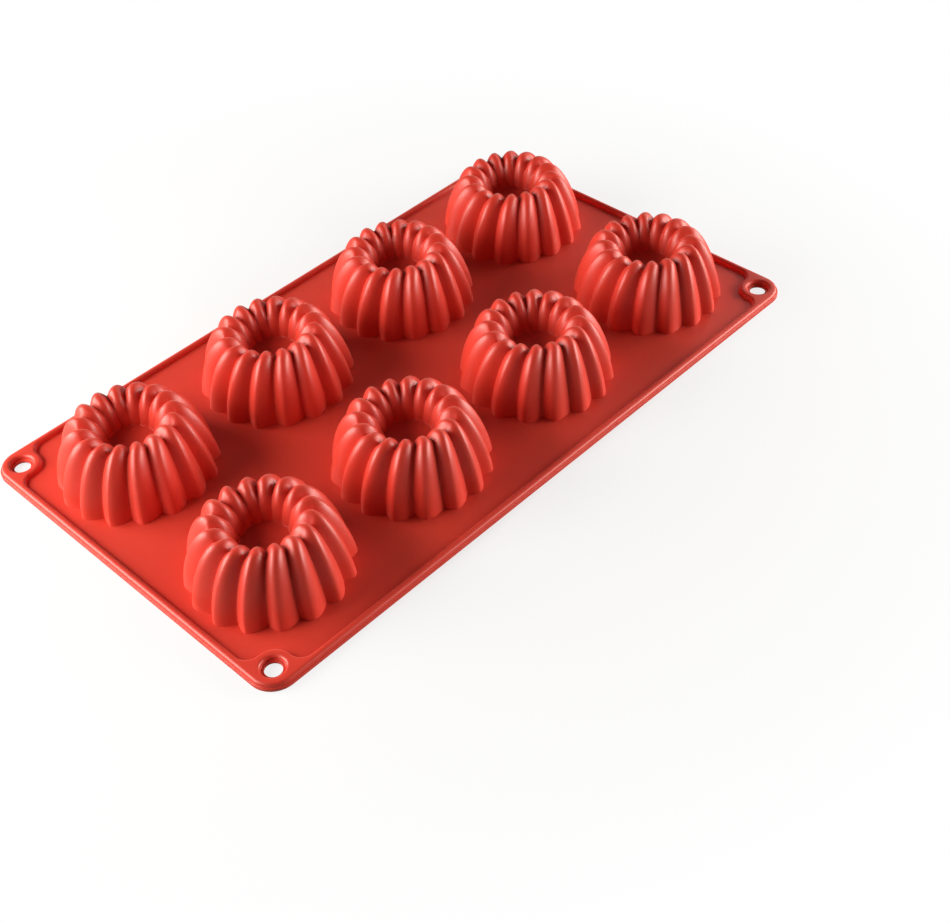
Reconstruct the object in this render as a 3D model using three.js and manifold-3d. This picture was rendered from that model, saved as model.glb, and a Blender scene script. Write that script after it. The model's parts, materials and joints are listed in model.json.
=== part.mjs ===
// Flexible baking mould: a thin sheet with two rows of fluted ring cups, a raised rim and corner eyelets.
// Millimetres, +Z up. The mould lies upside down: the cup mouths are on z = 0 and the crowns point up.
// X runs along the rows of cups, Y from the front row to the back row, and the origin is under the middle.
import * as THREE from "three";
import { mergeVertices } from "three/addons/utils/BufferGeometryUtils.js";
import Module from "manifold-3d";

const wasm = await Module();
wasm.setup();

// Cups: radii are to the rib tips on the crown side, heights are above the sheet
const CUP_RADIUS = 32;
const CUP_HEIGHT = 27.5;
const CUP_WALL = 1.6;
const CROWN_RADIUS = 18.3;
const WELL_RADIUS = 9;
const WELL_FLOOR_HEIGHT = 14.5;

// Handles of the two curves that a rib tip follows, from the sheet to the crown and from there into the well
const WALL_LEAN = 1;
const WALL_RISE = 10.5;
const SHOULDER_REACH = 6.8;
const WELL_LIP_REACH = 5.5;
const WELL_FLARE = 2;
const WELL_RISE = 6.5;

// Flutes: how deep the grooves lie under the rib tips, and how the ribs lean and turn
const RIB_COUNT = 16;
const MOUTH_FLUTE_DEPTH = 3;
const CROWN_FLUTE_DEPTH = 2.8;
const WELL_FLUTE_DEPTH = 0.5;
const FIRST_TIP_ANGLE = THREE.MathUtils.degToRad(11.25);
const CROWN_TWIST = THREE.MathUtils.degToRad(11.25);
const MOUTH_LONG_SHARE = 0.64;
const CROWN_LONG_SHARE = 0.5;
const LONG_SLOPE_FULLNESS = 0.56;

// Pattern of cups on the sheet: free widths between rib tips, and from rib tips to the sheet's edges
const COLUMNS = 4;
const COLUMN_GAP = 8;
const ROW_GAP = 16;
const END_MARGIN = 7.5;
const SIDE_MARGIN = 14;

// Sheet, and the strip between the rows where it folds
const SHEET_THICKNESS = 1.5;
const SHEET_CORNER_RADIUS = 10;
const FOLD_MARGIN = 2;

// Rim bead round the sheet, set back from the sheet's edge by a small ledge
const RIM_LEDGE = 0.5;
const RIM_WIDTH = 3;
const RIM_HEIGHT = 1.8;
const RIM_ROUND = 1.1;

// Corner eyelets: a stepped hole, wide in the boss and narrow in the sheet
const EYELET_INSET = 9;
const BOSS_BORE_RADIUS = 4.4;
const SHEET_BORE_RADIUS = 3.3;
const BOSS_WALL = 3.6;
const BOSS_FILLET = 5;
const CORNER_LEAD = 2;

// Facets
const ARC_STEPS = 6;
const BORE_STEPS = 16;
const ROUND_STEPS = 2;
const CROWN_SIDE_STEPS = { rise: [0, 0.35, 0.68, 1], fall: [0.4, 0.72, 1] };
const CAVITY_SIDE_STEPS = { rise: [0, 0.5, 1], fall: [0.55, 1] };

// Sizes that follow from the ones above
const COLUMN_PITCH = 2 * CUP_RADIUS + COLUMN_GAP;
const ROW_PITCH = 2 * CUP_RADIUS + ROW_GAP;
const SHEET_LENGTH = (COLUMNS - 1) * COLUMN_PITCH + 2 * (CUP_RADIUS + END_MARGIN);
const SHEET_WIDTH = ROW_PITCH + 2 * (CUP_RADIUS + SIDE_MARGIN);
const FOLD_WIDTH = ROW_GAP - 2 * FOLD_MARGIN;
const RIM_INNER = RIM_LEDGE + RIM_WIDTH;
const BOSS_RADIUS = BOSS_BORE_RADIUS + BOSS_WALL;
const FILLET_DROP = RIM_INNER + BOSS_FILLET - EYELET_INSET;
const FILLET_RUN = Math.sqrt((BOSS_RADIUS + BOSS_FILLET) ** 2 - FILLET_DROP ** 2);
const CORNER_SPAN = EYELET_INSET + FILLET_RUN + CORNER_LEAD;

const silicone = new THREE.MeshStandardMaterial({ color: "#c53a28", roughness: 0.45, metalness: 0 });
const mould = new THREE.Group();

function addPiece(name, geometry, parent = mould) {
  const piece = new THREE.Mesh(geometry, silicone);
  piece.name = name;
  parent.add(piece);
  return piece;
}

// Joins a start point, a stack of rings and an end point into one closed skin.
function loft(start, rings, end) {
  const count = rings[0].length;
  const points = [start, ...rings.flat(), end];
  const last = points.length - 1;
  const at = (ring, i) => 1 + ring * count + (i % count);
  const index = [];
  for (let i = 0; i < count; i++) {
    index.push(0, at(0, i + 1), at(0, i));
    for (let ring = 1; ring < rings.length; ring++) {
      index.push(at(ring - 1, i), at(ring - 1, i + 1), at(ring, i + 1));
      index.push(at(ring - 1, i), at(ring, i + 1), at(ring, i));
    }
    index.push(at(rings.length - 1, i), at(rings.length - 1, i + 1), last);
  }
  return new THREE.BufferGeometry().setFromPoints(points).setIndex(index);
}

// The path that a tip or a groove follows, drawn in from the rib tip's path by these depths.
function meridian(wall, crown, well, floor) {
  const top = CUP_HEIGHT - crown;
  const foot = WELL_RADIUS + well;
  const bottom = WELL_FLOOR_HEIGHT - floor;
  return {
    rise: new THREE.CubicBezierCurve(
      new THREE.Vector2(CUP_RADIUS - wall, 0),
      new THREE.Vector2(CUP_RADIUS - WALL_LEAN - wall, WALL_RISE),
      new THREE.Vector2(CROWN_RADIUS + SHOULDER_REACH - wall, top),
      new THREE.Vector2(CROWN_RADIUS, top),
    ),
    fall: new THREE.CubicBezierCurve(
      new THREE.Vector2(CROWN_RADIUS, top),
      new THREE.Vector2(CROWN_RADIUS - WELL_LIP_REACH + well, top),
      new THREE.Vector2(foot + WELL_FLARE, bottom + WELL_RISE),
      new THREE.Vector2(foot, bottom),
    ),
  };
}

// One face of the cup wall, an inset inside the crown side: its tip path and its groove path.
function fluted(inset) {
  return {
    tip: meridian(inset, inset, inset, inset),
    groove: meridian(
      inset + MOUTH_FLUTE_DEPTH,
      inset + CROWN_FLUTE_DEPTH,
      inset + WELL_FLUTE_DEPTH,
      inset,
    ),
  };
}

// One ring of a fluted face: each rib has a tip, a long slope, a groove and a short steep rise.
function flutedRing(face, path, step) {
  const turn = path === "rise" ? step * step : 1;
  const share = THREE.MathUtils.lerp(MOUTH_LONG_SHARE, CROWN_LONG_SHARE, turn);
  const tip = face.tip[path].getPoint(step);
  const groove = face.groove[path].getPoint(step);
  const pitch = (2 * Math.PI) / RIB_COUNT;
  const stations = [
    [0, 1],
    [share / 2, LONG_SLOPE_FULLNESS],
    [share, 0],
  ];
  const ring = [];
  for (let rib = 0; rib < RIB_COUNT; rib++) {
    for (const [along, height] of stations) {
      const angle = FIRST_TIP_ANGLE + CROWN_TWIST * turn + (rib + along) * pitch;
      const place = groove.clone().lerp(tip, height);
      ring.push(new THREE.Vector3(place.x * Math.cos(angle), place.x * Math.sin(angle), place.y));
    }
  }
  return ring;
}

function flutedRings(face, steps) {
  return [
    ...steps.rise.map((step) => flutedRing(face, "rise", step)),
    ...steps.fall.map((step) => flutedRing(face, "fall", step)),
  ];
}

// A ring cup: crown side and cavity side of one wall, closed by the well floor and the top of the centre post.
function cupGeometry() {
  const crownSide = flutedRings(fluted(0), CROWN_SIDE_STEPS);
  const cavitySide = flutedRings(fluted(CUP_WALL), CAVITY_SIDE_STEPS);
  const postTop = new THREE.Vector3(0, 0, WELL_FLOOR_HEIGHT - CUP_WALL);
  const wellFloor = new THREE.Vector3(0, 0, WELL_FLOOR_HEIGHT);
  return loft(postTop, [...cavitySide.reverse(), ...crownSide], wellFloor);
}

function cupCentre(column) {
  return (column - (COLUMNS - 1) / 2) * COLUMN_PITCH;
}

// Half of the sheet, from the fold to the front edge, with the mouths of its row and two eyelet bores.
function sheetGeometry() {
  const right = SHEET_LENGTH / 2;
  const front = -SHEET_WIDTH / 2;
  const round = SHEET_CORNER_RADIUS;
  const outline = new THREE.Shape();
  outline.moveTo(-right, -FOLD_WIDTH / 2);
  outline.lineTo(-right, front + round);
  outline.absarc(-right + round, front + round, round, Math.PI, 1.5 * Math.PI);
  outline.lineTo(right - round, front);
  outline.absarc(right - round, front + round, round, 1.5 * Math.PI, 2 * Math.PI);
  outline.lineTo(right, -FOLD_WIDTH / 2);
  outline.closePath();
  const mouth = flutedRing(fluted(CUP_WALL), "rise", 0);
  for (let column = 0; column < COLUMNS; column++) {
    const place = new THREE.Vector2(cupCentre(column), -ROW_PITCH / 2);
    outline.holes.push(new THREE.Path(mouth.map((p) => new THREE.Vector2(p.x, p.y).add(place))));
  }
  for (const side of [-1, 1]) {
    const x = side * (right - EYELET_INSET);
    outline.holes.push(borePath(x, front + EYELET_INSET, SHEET_BORE_RADIUS));
  }
  const sheet = { depth: SHEET_THICKNESS, bevelEnabled: false, curveSegments: ARC_STEPS };
  return new THREE.ExtrudeGeometry(outline, sheet);
}

function borePath(x, y, radius) {
  const points = [];
  for (let step = 0; step < BORE_STEPS; step++) {
    const angle = (step * 2 * Math.PI) / BORE_STEPS;
    points.push(new THREE.Vector2(x + radius * Math.cos(angle), y + radius * Math.sin(angle)));
  }
  return new THREE.Path(points);
}

// Adds the rim's section to an outline, between the rim's two feet at this height, from left to right.
function addRimSection(outline, left, foot) {
  const right = left + RIM_WIDTH;
  const shoulder = foot + RIM_HEIGHT - RIM_ROUND;
  outline.lineTo(left, foot);
  outline.absarc(left + RIM_ROUND, shoulder, RIM_ROUND, Math.PI, Math.PI / 2, true);
  outline.absarc(right - RIM_ROUND, shoulder, RIM_ROUND, Math.PI / 2, 0, true);
  outline.lineTo(right, foot);
}

// A straight run of rim: x is inwards from the sheet's edge, y up from the sheet, and z along the run.
function rimGeometry(length) {
  const section = new THREE.Shape();
  section.moveTo(RIM_INNER, 0);
  addRimSection(section, RIM_LEDGE, 0);
  section.closePath();
  return new THREE.ExtrudeGeometry(section, {
    depth: length,
    bevelEnabled: false,
    curveSegments: ROUND_STEPS,
  });
}

// The strip that bends between the rows, with the rim crossing it at both ends: x along it, y up, z across it.
function foldGeometry() {
  const right = SHEET_LENGTH / 2;
  const section = new THREE.Shape();
  section.moveTo(right, 0);
  section.lineTo(-right, 0);
  section.lineTo(-right, SHEET_THICKNESS);
  addRimSection(section, -right + RIM_LEDGE, SHEET_THICKNESS);
  addRimSection(section, right - RIM_INNER, SHEET_THICKNESS);
  section.lineTo(right, SHEET_THICKNESS);
  section.closePath();
  return new THREE.ExtrudeGeometry(section, {
    depth: FOLD_WIDTH,
    bevelEnabled: false,
    curveSegments: ROUND_STEPS,
  });
}

// Plan of a corner: the rim turns it, and swells inwards round the eyelet in an S curve. The origin is the
// meeting point of the sheet's two edges, with x and y inwards, and both arms run on past the corner's span.
function cornerOutline() {
  const arm = CORNER_SPAN + RIM_WIDTH;
  const inset = EYELET_INSET;
  const turn = Math.atan2(FILLET_DROP, FILLET_RUN);
  const outline = new THREE.Shape();
  outline.moveTo(RIM_LEDGE, arm);
  outline.lineTo(RIM_LEDGE, SHEET_CORNER_RADIUS);
  outline.absarc(
    SHEET_CORNER_RADIUS,
    SHEET_CORNER_RADIUS,
    SHEET_CORNER_RADIUS - RIM_LEDGE,
    Math.PI,
    1.5 * Math.PI,
  );
  outline.lineTo(arm, RIM_LEDGE);
  outline.lineTo(arm, RIM_INNER);
  outline.absarc(
    inset + FILLET_RUN,
    inset + FILLET_DROP,
    BOSS_FILLET,
    -Math.PI / 2,
    turn - Math.PI,
    true,
  );
  outline.absarc(inset, inset, BOSS_RADIUS, turn, Math.PI / 2 - turn);
  outline.absarc(
    inset + FILLET_DROP,
    inset + FILLET_RUN,
    BOSS_FILLET,
    -Math.PI / 2 - turn,
    -Math.PI,
    true,
  );
  outline.lineTo(RIM_INNER, arm);
  outline.closePath();
  outline.holes.push(borePath(inset, inset, BOSS_BORE_RADIUS));
  return outline;
}

function asSolid(geometry) {
  const bare = new THREE.BufferGeometry();
  bare.setAttribute("position", geometry.getAttribute("position"));
  if (geometry.index) bare.setIndex(geometry.index);
  const merged = mergeVertices(bare);
  return new wasm.Manifold(
    new wasm.Mesh({
      numProp: 3,
      vertProperties: merged.getAttribute("position").array,
      triVerts: new Uint32Array(merged.index.array),
    }),
  );
}

function asGeometry(solid) {
  const mesh = solid.getMesh();
  const geometry = new THREE.BufferGeometry();
  geometry.setAttribute("position", new THREE.BufferAttribute(mesh.vertProperties, mesh.numProp));
  return geometry.setIndex(new THREE.BufferAttribute(mesh.triVerts, 1));
}

// The corner's plan with its upper edges rounded, cut flat where it meets the sheet and the two rim runs.
function cornerGeometry() {
  const rounded = new THREE.ExtrudeGeometry(cornerOutline(), {
    depth: RIM_HEIGHT,
    bevelThickness: RIM_ROUND,
    bevelSize: RIM_ROUND,
    bevelOffset: -RIM_ROUND,
    bevelSegments: ROUND_STEPS,
    curveSegments: ARC_STEPS,
  });
  rounded.translate(0, 0, -RIM_ROUND);
  const kept = new THREE.BoxGeometry(CORNER_SPAN, CORNER_SPAN, 2 * RIM_HEIGHT);
  kept.translate(CORNER_SPAN / 2, CORNER_SPAN / 2, RIM_HEIGHT);
  return asGeometry(asSolid(rounded).intersect(asSolid(kept)));
}

// Turns a rim run to lie along one edge of the sheet, starting at a point on that edge.
function layRim(run, inwards, start) {
  const up = new THREE.Vector3(0, 0, 1);
  const along = new THREE.Vector3().crossVectors(inwards, up);
  run.setRotationFromMatrix(new THREE.Matrix4().makeBasis(inwards, up, along));
  run.position.copy(start);
}

// Sheet halves and the fold between them
const cup = cupGeometry();
const sheet = sheetGeometry();
addPiece("front_sheet", sheet);
addPiece("back_sheet", sheet).rotation.z = Math.PI;
const fold = addPiece("fold_strip", foldGeometry());
fold.rotation.x = Math.PI / 2;
fold.position.y = FOLD_WIDTH / 2;

// What stands on the sheet
const deck = new THREE.Group();
deck.position.z = SHEET_THICKNESS;
mould.add(deck);
const halfLength = SHEET_LENGTH / 2;
const halfWidth = SHEET_WIDTH / 2;

for (let column = 0; column < COLUMNS; column++) {
  addPiece(`cup_front_${column + 1}`, cup, deck).position.set(cupCentre(column), -ROW_PITCH / 2, 0);
  addPiece(`cup_back_${column + 1}`, cup, deck).position.set(cupCentre(column), ROW_PITCH / 2, 0);
}

const longRun = SHEET_LENGTH - 2 * CORNER_SPAN;
const shortRun = halfWidth - CORNER_SPAN - FOLD_WIDTH / 2;
const rims = [
  ["front_rim", longRun, [0, 1], [-longRun / 2, -halfWidth]],
  ["back_rim", longRun, [0, -1], [longRun / 2, halfWidth]],
  ["left_rim_front", shortRun, [1, 0], [-halfLength, -FOLD_WIDTH / 2]],
  ["left_rim_back", shortRun, [1, 0], [-halfLength, halfWidth - CORNER_SPAN]],
  ["right_rim_front", shortRun, [-1, 0], [halfLength, CORNER_SPAN - halfWidth]],
  ["right_rim_back", shortRun, [-1, 0], [halfLength, FOLD_WIDTH / 2]],
];
for (const [name, length, inwards, start] of rims) {
  const run = addPiece(name, rimGeometry(length), deck);
  layRim(run, new THREE.Vector3(...inwards, 0), new THREE.Vector3(...start, 0));
}

const corner = cornerGeometry();
const corners = [
  ["corner_eyelet_front_left", -1, -1],
  ["corner_eyelet_front_right", 1, -1],
  ["corner_eyelet_back_right", 1, 1],
  ["corner_eyelet_back_left", -1, 1],
];
corners.forEach(([name, alongX, alongY], quarter) => {
  const piece = addPiece(name, corner, deck);
  piece.position.set(alongX * halfLength, alongY * halfWidth, 0);
  piece.rotation.z = (quarter * Math.PI) / 2;
});

export default mould;
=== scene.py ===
"""A flexible baking mould with two rows of fluted ring cups, lying upside down on a pale studio floor."""

import json
import math

import bmesh
import bpy
from mathutils import Matrix, Vector
from mathutils.geometry import interpolate_bezier


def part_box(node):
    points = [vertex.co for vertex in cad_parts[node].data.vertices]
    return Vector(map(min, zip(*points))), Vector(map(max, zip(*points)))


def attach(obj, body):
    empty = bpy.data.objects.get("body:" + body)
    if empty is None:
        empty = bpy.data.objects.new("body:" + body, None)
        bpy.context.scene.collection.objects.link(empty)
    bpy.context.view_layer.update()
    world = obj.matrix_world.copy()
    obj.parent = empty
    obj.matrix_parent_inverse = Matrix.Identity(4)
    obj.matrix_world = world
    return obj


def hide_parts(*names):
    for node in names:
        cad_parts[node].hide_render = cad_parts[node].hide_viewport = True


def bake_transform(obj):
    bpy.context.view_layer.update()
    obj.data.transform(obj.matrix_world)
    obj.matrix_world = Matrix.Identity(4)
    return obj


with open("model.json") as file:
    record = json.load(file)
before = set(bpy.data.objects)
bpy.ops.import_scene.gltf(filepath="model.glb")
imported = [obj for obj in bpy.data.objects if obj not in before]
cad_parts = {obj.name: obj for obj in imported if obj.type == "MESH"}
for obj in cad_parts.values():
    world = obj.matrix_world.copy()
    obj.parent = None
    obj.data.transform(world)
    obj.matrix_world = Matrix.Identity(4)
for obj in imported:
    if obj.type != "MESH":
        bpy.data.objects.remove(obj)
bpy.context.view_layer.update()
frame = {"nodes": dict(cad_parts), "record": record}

MM = 0.001

# Cups: radii are to the rib tips on the crown side, heights are above the sheet
CUP_RADIUS = 32 * MM
CUP_HEIGHT = 27.5 * MM
CUP_WALL = 1.6 * MM
CROWN_RADIUS = 18.3 * MM
WELL_RADIUS = 9 * MM
WELL_FLOOR_HEIGHT = 14.5 * MM
WELL_FLOOR_ROUND = 0.25 * MM

# Handles of the two curves that a rib tip follows, from the sheet to the crown and from there into the well
WALL_LEAN = 1 * MM
WALL_RISE = 10.5 * MM
SHOULDER_REACH = 6.8 * MM
WELL_LIP_REACH = 5.5 * MM
WELL_FLARE = 2 * MM
WELL_RISE = 6.5 * MM

# Flutes: how deep the grooves lie under the rib tips, and how the ribs lean, turn and swell
RIB_COUNT = 16
MOUTH_FLUTE_DEPTH = 3.3 * MM
CROWN_FLUTE_DEPTH = 3 * MM
WELL_FLUTE_DEPTH = 0.5 * MM
FIRST_TIP_ANGLE = math.radians(11.25)
CROWN_TWIST = math.radians(11.25)
TWIST_POWER = 2
MOUTH_LONG_SHARE = 0.64
CROWN_LONG_SHARE = 0.5
MOUTH_SWELL = 1.15
CROWN_SWELL = 1.32
MOUTH_TIP_ROUND = 0.26
CROWN_TIP_ROUND = 0.36
GROOVE_ROUND = 0.05

# Rim bead, corner eyelets and the rounding of the sheet's edges
RIM_ROUND = 1.35 * MM
RIM_FOOT_FILLET = 0.2 * MM
EYELET_INSET = 9 * MM
BOSS_BORE_RADIUS = 4.4 * MM
BOSS_RADIUS = 8 * MM
BOSS_FILLET = 5 * MM
SHEET_BORE_RADIUS = 3.3 * MM
SHEET_CORNER_RADIUS = 10 * MM
SHEET_EDGE_ROUND = 0.2 * MM
MOUTH_LIP_ROUND = 0.5 * MM
BORE_LIP_ROUND = 1 * MM

# Silicone: two reds that drift into each other, its gloss, and its pale bloom where light grazes it
DEEP_RED = (0.62, 0.0325, 0.0165, 1)
BRIGHT_RED = (0.69, 0.0375, 0.0185, 1)
REFRACTION = 1.53
ROUGHNESS = 0.32
BLOOM = 0.13
BLOOM_SPREAD = 0.5
BLOOM_COLOUR = (1, 0.82, 0.7, 1)

# Patches on the silicone: their size and detail, and what they add to its roughness and its relief
PATCH_CONTRAST = 0.55
CLOUD_SIZE = 45 * MM
CLOUD_DETAIL = 2
CLOUD_ROUGHNESS = 0.08
SMEAR_SIZE = 9 * MM
SMEAR_DETAIL = 3
SMEAR_ROUGHNESS = 0.06
GRAIN_SIZE = 0.35 * MM
GRAIN_DETAIL = 2
GRAIN_ROUGHNESS = 0.04
GRAIN_DEPTH = 0.03 * MM
GRAIN_STRENGTH = 0.25
WAVE_SIZE = 30 * MM
WAVE_DETAIL = 1
WAVE_DEPTH = 0.35 * MM
WAVE_STRENGTH = 0.3

# Studio: a paper floor that turns up into a wall all round. It looks white, with a share of shadow
# round the mould. It lights the mould as dim paper, and the mould mirrors only its further part as white
FLOOR_RADIUS = 2.2
COVE_RADIUS = 0.4
COVE_HEIGHT = 1.2
PAPER = (0.9, 0.9, 0.9, 1)
DIM_PAPER = (0.35, 0.35, 0.35, 1)
WHITE = (1, 1, 1, 1)
SHADOW_SHARE = 0.3
SHADOW_START = 0.1
SHADOW_END = 0.26
MIRRORED_SHARE = 0.4
MIRRORED_START = 0.4
MIRRORED_END = 1.2

# Light: a softbox to the left of the picture, others to its right and behind, and the dim room
KEY_PLACE = (-0.44, 0.308, 0.226)
KEY_SIZE = (0.6, 0.33)
KEY_POWER = 6.6
FILL_PLACE = (0.8, -0.6, 0.22)
FILL_SIZE = (1, 0.4)
FILL_POWER = 15.5
BACK_PLACE = (1, 0.12, 0.56)
BACK_SIZE = (0.6, 0.4)
BACK_POWER = 1.6
LAMP_COLOUR = (1, 0.96, 0.88)
ROOM_LIGHT = 0.06

# How finely the round shapes are drawn, and how near to each other points are joined
LONG_SIDE_STEPS = 9
SHORT_SIDE_STEPS = 7
RIB_STEPS = LONG_SIDE_STEPS + SHORT_SIDE_STEPS
CUP_STEPS = RIB_COUNT * RIB_STEPS
RISE_STEPS = 26
FALL_STEPS = 18
ROUND_STEPS = 5
CORNER_STEPS = 16
BORE_STEPS = 48
FOLD_STEPS = 24
FLOOR_STEPS = 64
CUP_WELD = 0.001 * MM
FLOOR_WELD = 1 * MM
SHARP_ANGLE = math.radians(50)

# Where a Mix node has its share, its two colours and its mixed colour
MIX_SHARE = 0
MIX_FIRST = 6
MIX_SECOND = 7
MIX_RESULT = 2

# The photograph's camera
IMAGE_WIDTH = 950
FOCAL_PIXELS = 1468
CAMERA_AZIMUTH = math.radians(-43.04)
CAMERA_ELEVATION = math.radians(43.38)
CAMERA_ROLL = math.radians(-4.5)
CAMERA_DISTANCE = 611.6 * MM
CAMERA_SIDESTEP = 28.3 * MM
CAMERA_LIFT = -34.9 * MM


def add_camera():
    """A camera at the photograph's angle, a little beside the line through the mould's middle."""
    back = Vector(
        (
            math.sin(CAMERA_AZIMUTH) * math.cos(CAMERA_ELEVATION),
            -math.cos(CAMERA_AZIMUTH) * math.cos(CAMERA_ELEVATION),
            math.sin(CAMERA_ELEVATION),
        )
    )
    right = Vector((math.cos(CAMERA_AZIMUTH), math.sin(CAMERA_AZIMUTH), 0))
    right.rotate(Matrix.Rotation(CAMERA_ROLL, 3, back))
    up = back.cross(right)
    lens = bpy.data.cameras.new("photo_camera")
    lens.lens = lens.sensor_width * FOCAL_PIXELS / IMAGE_WIDTH
    camera = bpy.data.objects.new("photo_camera", lens)
    turn = Matrix((right, up, back)).transposed().to_4x4()
    place = back * CAMERA_DISTANCE + right * CAMERA_SIDESTEP + up * CAMERA_LIFT
    camera.matrix_world = Matrix.Translation(place) @ turn
    bpy.context.scene.collection.objects.link(camera)
    bpy.context.scene.camera = camera


class Shade:
    """A socket in a material's nodes. Sums and products add Math nodes, and node() adds any other."""

    def __init__(self, tree, socket=None):
        self.tree = tree
        self.socket = socket

    def node(self, kind, sockets, output=0, **settings):
        """Adds a node with these inputs and settings, and gives one of its outputs."""
        made = self.tree.nodes.new(kind)
        for name, value in settings.items():
            setattr(made, name, value)
        for name, value in sockets.items():
            if isinstance(value, Shade):
                self.tree.links.new(value.socket, made.inputs[name])
            else:
                made.inputs[name].default_value = value
        return Shade(self.tree, made.outputs[output] if made.outputs else None)

    def _math(self, operation, first, second):
        return self.node("ShaderNodeMath", {0: first, 1: second}, operation=operation)

    def __add__(self, other):
        return self._math("ADD", self, other)

    def __radd__(self, other):
        return self._math("ADD", other, self)

    def __mul__(self, other):
        return self._math("MULTIPLY", self, other)

    def __rmul__(self, other):
        return self._math("MULTIPLY", other, self)

    def noise(self, place, size, detail):
        """Smooth noise whose patches are about this size."""
        sockets = {"Vector": place, "Scale": 1 / size, "Detail": detail, "Roughness": PATCH_CONTRAST}
        return self.node("ShaderNodeTexNoise", sockets, output="Fac")

    def ramp(self, start, end, low, high):
        """From low to high while this value goes from start to end."""
        sockets = {"Value": self, "From Min": start, "From Max": end, "To Min": low, "To Max": high}
        return self.node("ShaderNodeMapRange", sockets)

    def mix_colour(self, share, first, second):
        """From the first colour to the second as the share goes from 0 to 1."""
        sockets = {MIX_SHARE: share, MIX_FIRST: first, MIX_SECOND: second}
        return self.node("ShaderNodeMix", sockets, output=MIX_RESULT, data_type="RGBA")


def empty_nodes(owner):
    """Clears the nodes of a material or a world, and gives a start for new ones."""
    owner.use_nodes = True
    owner.node_tree.nodes.clear()
    return Shade(owner.node_tree)


def silicone_material():
    """Satin brick-red silicone: soft clouds in its colour and gloss, and a fine grain from its casting."""
    material = bpy.data.materials.new("satin_red_silicone")
    make = empty_nodes(material)
    place = make.node("ShaderNodeTexCoord", {}, output="Object")
    clouds = make.noise(place, CLOUD_SIZE, CLOUD_DETAIL)
    smears = make.noise(place, SMEAR_SIZE, SMEAR_DETAIL)
    grain = make.noise(place, GRAIN_SIZE, GRAIN_DETAIL)
    waves = make.noise(place, WAVE_SIZE, WAVE_DETAIL)
    colour = make.mix_colour(clouds, DEEP_RED, BRIGHT_RED)
    roughness = ROUGHNESS + CLOUD_ROUGHNESS * clouds + SMEAR_ROUGHNESS * smears + GRAIN_ROUGHNESS * grain
    relief = make.node(
        "ShaderNodeBump",
        {"Strength": GRAIN_STRENGTH, "Distance": GRAIN_DEPTH, "Height": grain},
    )
    relief = make.node(
        "ShaderNodeBump",
        {"Strength": WAVE_STRENGTH, "Distance": WAVE_DEPTH, "Height": waves, "Normal": relief},
    )
    surface = make.node(
        "ShaderNodeBsdfPrincipled",
        {
            "Base Color": colour,
            "Roughness": roughness,
            "Normal": relief,
            "IOR": REFRACTION,
            "Sheen Weight": BLOOM,
            "Sheen Roughness": BLOOM_SPREAD,
            "Sheen Tint": BLOOM_COLOUR,
        },
    )
    make.node("ShaderNodeOutputMaterial", {"Surface": surface})
    return material


def floor_material():
    """Pale paper that fades to white away from the mould."""
    material = bpy.data.materials.new("pale_floor")
    make = empty_nodes(material)
    place = make.node("ShaderNodeTexCoord", {}, output="Object")
    reach = make.node("ShaderNodeVectorMath", {0: place}, output="Value", operation="LENGTH")
    rays = ("Is Camera Ray", "Is Transmission Ray", "Is Glossy Ray")
    camera, through, mirrored = (make.node("ShaderNodeLightPath", {}, output=ray) for ray in rays)
    seen = camera + through
    share = seen * reach.ramp(SHADOW_START, SHADOW_END, 1 - SHADOW_SHARE, 1)
    share = share + mirrored * reach.ramp(MIRRORED_START, MIRRORED_END, 0, MIRRORED_SHARE)
    paper = make.node("ShaderNodeBsdfDiffuse", {"Color": make.mix_colour(seen, DIM_PAPER, PAPER)})
    white = make.node("ShaderNodeEmission", {"Color": WHITE, "Strength": 1})
    surface = make.node("ShaderNodeMixShader", {0: share, 1: paper, 2: white})
    make.node("ShaderNodeOutputMaterial", {"Surface": surface})
    return material


def spin_profile(bm, profile, steps, weld):
    """Joins points into a line, and spins it once round the Z axis."""
    edges = [bm.edges.new(pair) for pair in zip(profile, profile[1:])]
    bmesh.ops.spin(
        bm, geom=profile + edges, axis=(0, 0, 1), angle=math.tau, steps=steps, use_merge=True
    )
    bmesh.ops.remove_doubles(bm, verts=bm.verts, dist=weld)


def add_floor():
    """A round floor that turns up into a wall."""
    profile = [(0, 0), (FLOOR_RADIUS, 0)]
    for step in range(1, CORNER_STEPS + 1):
        angle = math.pi / 2 * step / CORNER_STEPS
        across = FLOOR_RADIUS + COVE_RADIUS * math.sin(angle)
        profile.append((across, COVE_RADIUS * (1 - math.cos(angle))))
    profile.append((FLOOR_RADIUS + COVE_RADIUS, COVE_HEIGHT))
    bm = bmesh.new()
    spin_profile(bm, [bm.verts.new((x, 0, z)) for x, z in profile], FLOOR_STEPS, FLOOR_WELD)
    bmesh.ops.recalc_face_normals(bm, faces=bm.faces)
    mesh = bpy.data.meshes.new("studio_floor")
    bm.to_mesh(mesh)
    bm.free()
    floor = bpy.data.objects.new("studio_floor", mesh)
    bpy.context.scene.collection.objects.link(floor)
    mesh.materials.append(floor_material())


def add_room():
    """The even, dim light of the room."""
    world = bpy.data.worlds.new("studio_world")
    bpy.context.scene.world = world
    make = empty_nodes(world)
    room = make.node("ShaderNodeBackground", {"Color": WHITE, "Strength": ROOM_LIGHT})
    make.node("ShaderNodeOutputWorld", {"Surface": room})


def add_softbox(name, place, size, power):
    """A flat lamp that faces the mould."""
    lamp = bpy.data.lights.new(name, "AREA")
    lamp.shape = "RECTANGLE"
    lamp.size, lamp.size_y = size
    lamp.energy = power
    lamp.color = LAMP_COLOUR
    box = bpy.data.objects.new(name, lamp)
    box.location = place
    box.rotation_mode = "QUATERNION"
    box.rotation_quaternion = (-Vector(place)).to_track_quat("-Z", "Y")
    bpy.context.scene.collection.objects.link(box)


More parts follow.
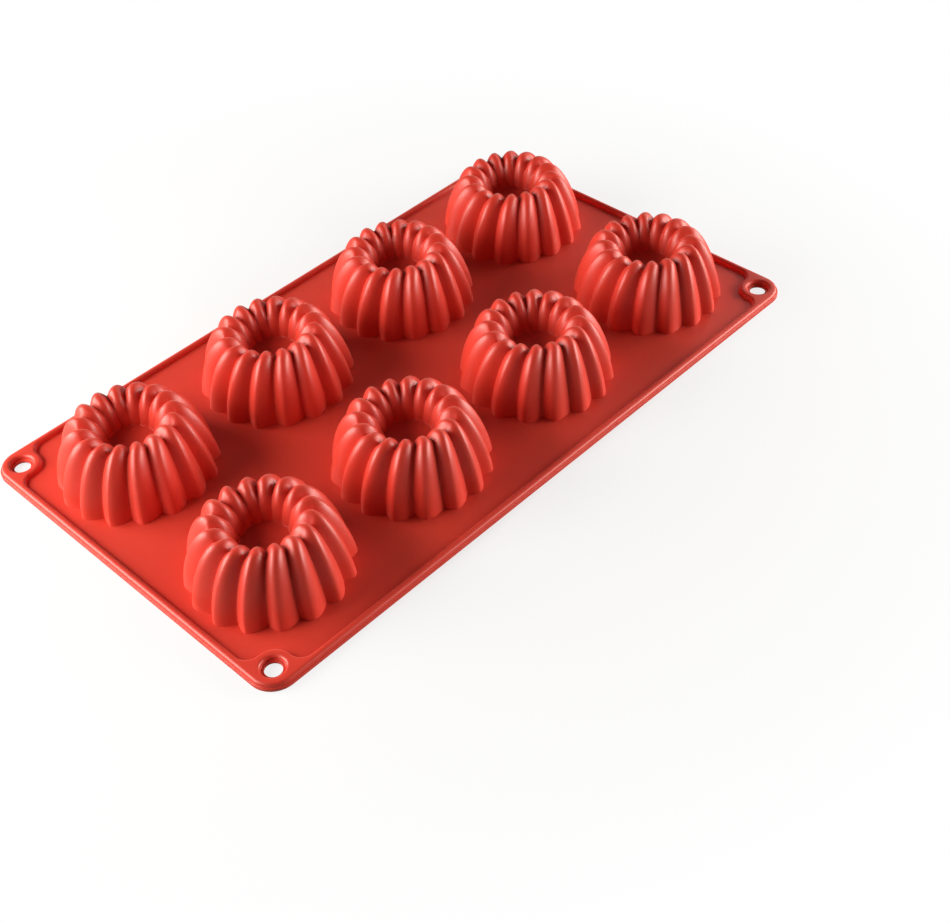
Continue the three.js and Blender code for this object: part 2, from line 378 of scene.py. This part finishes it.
def add_piece(name, bm, material):
    """Makes a bmesh that is drawn in its place a smooth-shaded piece."""
    mesh = bpy.data.meshes.new(name)
    bm.to_mesh(mesh)
    bm.free()
    mesh.materials.append(material)
    mesh.shade_smooth()
    mesh.set_sharp_from_angle(angle=SHARP_ANGLE)
    piece = bpy.data.objects.new(name, mesh)
    bpy.context.scene.collection.objects.link(piece)
    return piece


def rib_path(wall, crown, well, floor):
    """The path from the sheet over the crown to the well floor, inside the rib tips' path by these depths.

    Each point is a radius and a height, with the share of the ribs' turn that is done there.
    """
    top = CUP_HEIGHT - crown
    foot = WELL_RADIUS + well
    bottom = WELL_FLOOR_HEIGHT - floor
    crest = Vector((CROWN_RADIUS, top))
    rise = interpolate_bezier(
        Vector((CUP_RADIUS - wall, 0)),
        Vector((CUP_RADIUS - WALL_LEAN - wall, WALL_RISE)),
        Vector((CROWN_RADIUS + SHOULDER_REACH - wall, top)),
        crest,
        RISE_STEPS + 1,
    )
    fall = interpolate_bezier(
        crest,
        Vector((CROWN_RADIUS - WELL_LIP_REACH + well, top)),
        Vector((foot + WELL_FLARE, bottom + WELL_RISE)),
        Vector((foot, bottom)),
        FALL_STEPS + 1,
    )
    corner = fall.pop()
    while fall[-1].y < bottom + WELL_FLOOR_ROUND:
        fall.pop()
    inner = corner - Vector((WELL_FLOOR_ROUND, 0))
    turn_in = interpolate_bezier(fall[-1], corner, corner, inner, ROUND_STEPS + 1)
    path = [(point, (step / RISE_STEPS) ** TWIST_POWER) for step, point in enumerate(rise)]
    return path + [(point, 1) for point in fall[1:] + turn_in[1:]]


def fluted_face(inset):
    """Stations up one face of the cup wall, from the sheet to the well: tip, groove and turn."""
    tips = rib_path(inset, inset, inset, inset)
    grooves = rib_path(
        inset + MOUTH_FLUTE_DEPTH, inset + CROWN_FLUTE_DEPTH, inset + WELL_FLUTE_DEPTH, inset
    )
    return [(tip, groove, turn) for (tip, turn), (groove, _) in zip(tips, grooves)]


def between(first, last, share):
    """The value at this share of the way from first to last."""
    return first + (last - first) * share


def eased(step, steps):
    """From 0 to 1 in steps that are small at both ends."""
    return (1 - math.cos(math.pi * step / steps)) / 2


def softened(value, radius):
    """The line from 0 to 1 with a round start."""
    return (math.hypot(value, radius) - radius) / (math.hypot(1, radius) - radius)


def fluted_point(station, angle):
    """Where a point at this angle of the spun cup lies on the flutes.

    Going round from a tip there is a long slope to the groove, and then a short steep rise to the next tip.
    """
    tip, groove, turn = station
    rib, step = divmod(round(angle * CUP_STEPS / math.tau), RIB_STEPS)
    share = between(MOUTH_LONG_SHARE, CROWN_LONG_SHARE, turn)
    if step <= LONG_SIDE_STEPS:
        from_tip = eased(step, LONG_SIDE_STEPS)
        along = share * from_tip
    else:
        from_tip = eased(RIB_STEPS - step, SHORT_SIDE_STEPS)
        along = 1 - (1 - share) * from_tip
    swell = between(MOUTH_SWELL, CROWN_SWELL, turn)
    tip_round = between(MOUTH_TIP_ROUND, CROWN_TIP_ROUND, turn)
    height = softened(1 - softened(from_tip, tip_round) ** swell, GROOVE_ROUND)
    radius, level = groove.lerp(tip, height)
    turned = FIRST_TIP_ANGLE + CROWN_TWIST * turn + (rib + along) * math.tau / RIB_COUNT
    return Vector((radius * math.cos(turned), radius * math.sin(turned), level))


def cup_mesh():
    """A ring cup at the origin.

    The crown side and the cavity side of one wall are spun as one profile, and then pressed into flutes.
    """
    stations = [*reversed(fluted_face(0)), *fluted_face(CUP_WALL)]
    bm = bmesh.new()
    row = bm.verts.layers.int.new("row")
    profile = [bm.verts.new((0, 0, WELL_FLOOR_HEIGHT))]
    for number, (tip, _, _) in enumerate(stations):
        point = bm.verts.new((tip.x, 0, tip.y))
        point[row] = number + 1
        profile.append(point)
    profile.append(bm.verts.new((0, 0, WELL_FLOOR_HEIGHT - CUP_WALL)))
    spin_profile(bm, profile, CUP_STEPS, CUP_WELD)
    for vert in bm.verts:
        if vert[row]:
            angle = math.atan2(vert.co.y, vert.co.x) % math.tau
            vert.co = fluted_point(stations[vert[row] - 1], angle)
    bmesh.ops.recalc_face_normals(bm, faces=bm.faces)
    return bm


def cup_foot(node):
    """The middle of a cup's foot on the sheet."""
    low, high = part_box(node)
    return Vector(((low.x + high.x) / 2, (low.y + high.y) / 2, low.z))


def add_cups(material):
    """One fluted cup over each plain cup of the frame."""
    shape = cup_mesh()
    for body, nodes in frame["record"]["behaviour"]["bodies"].items():
        for node in nodes:
            if node.startswith("cup_"):
                bm = shape.copy()
                bmesh.ops.translate(bm, verts=bm.verts, vec=cup_foot(node))
                cup = add_piece("fluted_" + node, bm, material)
                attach(cup, body)
                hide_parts(node)
    shape.free()


def arc(x, y, radius, start, end, steps):
    """Points round part of a circle."""
    angles = [start + (end - start) * step / steps for step in range(steps + 1)]
    return [Vector((x + radius * math.cos(a), y + radius * math.sin(a), 0)) for a in angles]


def sheet_corner(inset):
    """The sheet's round corner, drawn in by this much and measured inwards from where the edges meet."""
    radius = SHEET_CORNER_RADIUS
    return arc(radius, radius, radius - inset, math.pi, 1.5 * math.pi, CORNER_STEPS)


def round_corners(corner, length, width):
    """The four corners of a plan, anticlockwise, from the points of one corner."""
    points = []
    for side_x, side_y in ((-1, -1), (1, -1), (1, 1), (-1, 1)):
        placed = [
            Vector((side_x * (length / 2 - p.x), side_y * (width / 2 - p.y), 0)) for p in corner
        ]
        points += placed if side_x == side_y else placed[::-1]
    return points


def raise_wall(bm, points, side, section):
    """Draws a closed loop and extrudes it up through a section of (away, height) steps.

    Away is measured from the loop out of the material, which is outwards where side is 1, and inwards
    where it is -1. Returns the lowest and the highest loops' edges.
    """
    outward = []
    for before, after in zip(points[-1:] + points[:-1], points[1:] + points[:1]):
        along = (after - before).normalized()
        outward.append(Vector((along.y, -along.x, 0)) * side)
    first_away, first_height = section[0]
    up = Vector((0, 0, 1))
    loop = [bm.verts.new(p + o * first_away + up * first_height) for p, o in zip(points, outward)]
    edges = [bm.edges.new(pair) for pair in zip(loop, loop[1:] + loop[:1])]
    lowest = edges
    for away, height in section[1:]:
        made = bmesh.ops.extrude_edge_only(bm, edges=edges)["geom"]
        fresh = {v for v in made if isinstance(v, bmesh.types.BMVert)} - set(loop)
        pairs = [(e.other_vert(v), v) for v in fresh for e in v.link_edges]
        above = {old: new for old, new in pairs if old not in fresh}
        loop = [above[v] for v in loop]
        for vert, p, o in zip(loop, points, outward):
            vert.co = p + o * away + up * height
        edges = [bm.edges.get(pair) for pair in zip(loop, loop[1:] + loop[:1])]
    return lowest, edges


def quarter_turn():
    """The cosine and sine of each step round a quarter circle."""
    angles = [math.pi / 2 * step / ROUND_STEPS for step in range(ROUND_STEPS + 1)]
    return [(math.cos(a), math.sin(a)) for a in angles]


def lower_round(radius):
    """The section of a rounded lower edge, from height 0."""
    return [(-radius * (1 - c), radius - radius * s) for c, s in reversed(quarter_turn())]


def upper_round(radius, top):
    """The section of a rounded upper edge that ends at this height."""
    return [(-radius * (1 - c), top - radius + radius * s) for c, s in quarter_turn()]


def foot_fillet(radius, foot):
    """The section of a hollow round where a wall stands on a face at this height."""
    return [(radius * (1 - s), foot + radius * (1 - c)) for c, s in quarter_turn()]


def sheet_size():
    """The length, width and thickness of the whole sheet."""
    front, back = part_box("front_sheet"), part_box("back_sheet")
    return front[1].x - front[0].x, back[1].y - front[0].y, front[1].z


def raise_bores(bm, length, width, radius, section):
    """The wall of an eyelet's bore at each corner. Returns their lowest and highest loops' edges."""
    loops = []
    for side_x in (-1, 1):
        for side_y in (-1, 1):
            x = side_x * (length / 2 - EYELET_INSET)
            y = side_y * (width / 2 - EYELET_INSET)
            points = arc(x, y, radius, 0, math.tau, BORE_STEPS)[:-1]
            loops.append(raise_wall(bm, points, -1, section))
    return loops


def add_folding_piece(name, bm, loops, material, nodes):
    """Closes walls below and above, and makes them one piece.

    Cuts across the strip between the rows divide its faces there. Shading is even over flat and round
    faces.
    """
    for level in zip(*loops):
        bmesh.ops.triangle_fill(bm, edges=[e for loop in level for e in loop], use_beauty=True)
    low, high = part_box("fold_strip")
    for step in range(FOLD_STEPS + 1):
        y = low.y + (high.y - low.y) * step / FOLD_STEPS
        geometry = bm.verts[:] + bm.edges[:] + bm.faces[:]
        bmesh.ops.bisect_plane(bm, geom=geometry, plane_co=(0, y, 0), plane_no=(0, 1, 0))
    bmesh.ops.recalc_face_normals(bm, faces=bm.faces)
    piece = add_piece(name, bm, material)
    shading = piece.modifiers.new("even_shading", "WEIGHTED_NORMAL")
    shading.keep_sharp = True
    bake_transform(piece)
    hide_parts(*nodes)


def add_sheet(material):
    """The flat sheet with the mouths of the cups and the four narrow eyelet bores."""
    length, width, top = sheet_size()
    upper_edge = upper_round(SHEET_EDGE_ROUND, top)
    bm = bmesh.new()
    outline = round_corners(sheet_corner(0), length, width)
    loops = [raise_wall(bm, outline, 1, lower_round(SHEET_EDGE_ROUND) + upper_edge)]
    station = fluted_face(CUP_WALL)[0]
    mouth = [fluted_point(station, math.tau * step / CUP_STEPS) for step in range(CUP_STEPS)]
    mouth_wall = lower_round(MOUTH_LIP_ROUND) + [(0, top)]
    for node in frame["nodes"]:
        if node.startswith("cup_"):
            centre = cup_foot(node)
            points = [Vector((p.x + centre.x, p.y + centre.y, 0)) for p in mouth]
            loops.append(raise_wall(bm, points, -1, mouth_wall))
    bore_wall = lower_round(BORE_LIP_ROUND) + upper_edge
    loops += raise_bores(bm, length, width, SHEET_BORE_RADIUS, bore_wall)
    nodes = ["front_sheet", "back_sheet", "fold_strip"]
    add_folding_piece("moulded_sheet", bm, loops, material, nodes)


def add_rim(material):
    """The raised bead round the sheet, which swells round an eyelet at each corner."""
    length, width, _ = sheet_size()
    low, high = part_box("front_rim")
    outer = low.y + width / 2
    inner = high.y + width / 2
    inset = EYELET_INSET
    drop = inner + BOSS_FILLET - inset
    run = math.sqrt((BOSS_RADIUS + BOSS_FILLET) ** 2 - drop ** 2)
    turn = math.atan2(drop, run)
    quarter = math.pi / 2
    boss = [
        *arc(inset + run, inset + drop, BOSS_FILLET, -quarter, turn - math.pi, CORNER_STEPS),
        *arc(inset, inset, BOSS_RADIUS, turn, quarter - turn, CORNER_STEPS)[1:],
        *arc(inset + drop, inset + run, BOSS_FILLET, -quarter - turn, -math.pi, CORNER_STEPS)[1:],
    ]
    section = foot_fillet(RIM_FOOT_FILLET, low.z) + upper_round(RIM_ROUND, high.z)
    bm = bmesh.new()
    loops = [
        raise_wall(bm, round_corners(sheet_corner(outer), length, width), 1, section),
        raise_wall(bm, round_corners(boss[::-1], length, width), -1, section),
    ]
    loops += raise_bores(bm, length, width, BOSS_BORE_RADIUS, section)
    nodes = [n for n in frame["nodes"] if "rim" in n or n.startswith("corner_eyelet")]
    add_folding_piece("rim_with_eyelets", bm, loops, material, nodes)


bpy.context.scene.view_settings.view_transform = "Standard"
add_camera()
add_floor()
add_room()
add_softbox("key_softbox", KEY_PLACE, KEY_SIZE, KEY_POWER)
add_softbox("fill_softbox", FILL_PLACE, FILL_SIZE, FILL_POWER)
add_softbox("back_softbox", BACK_PLACE, BACK_SIZE, BACK_POWER)
silicone = silicone_material()
add_sheet(silicone)
add_rim(silicone)
add_cups(silicone)
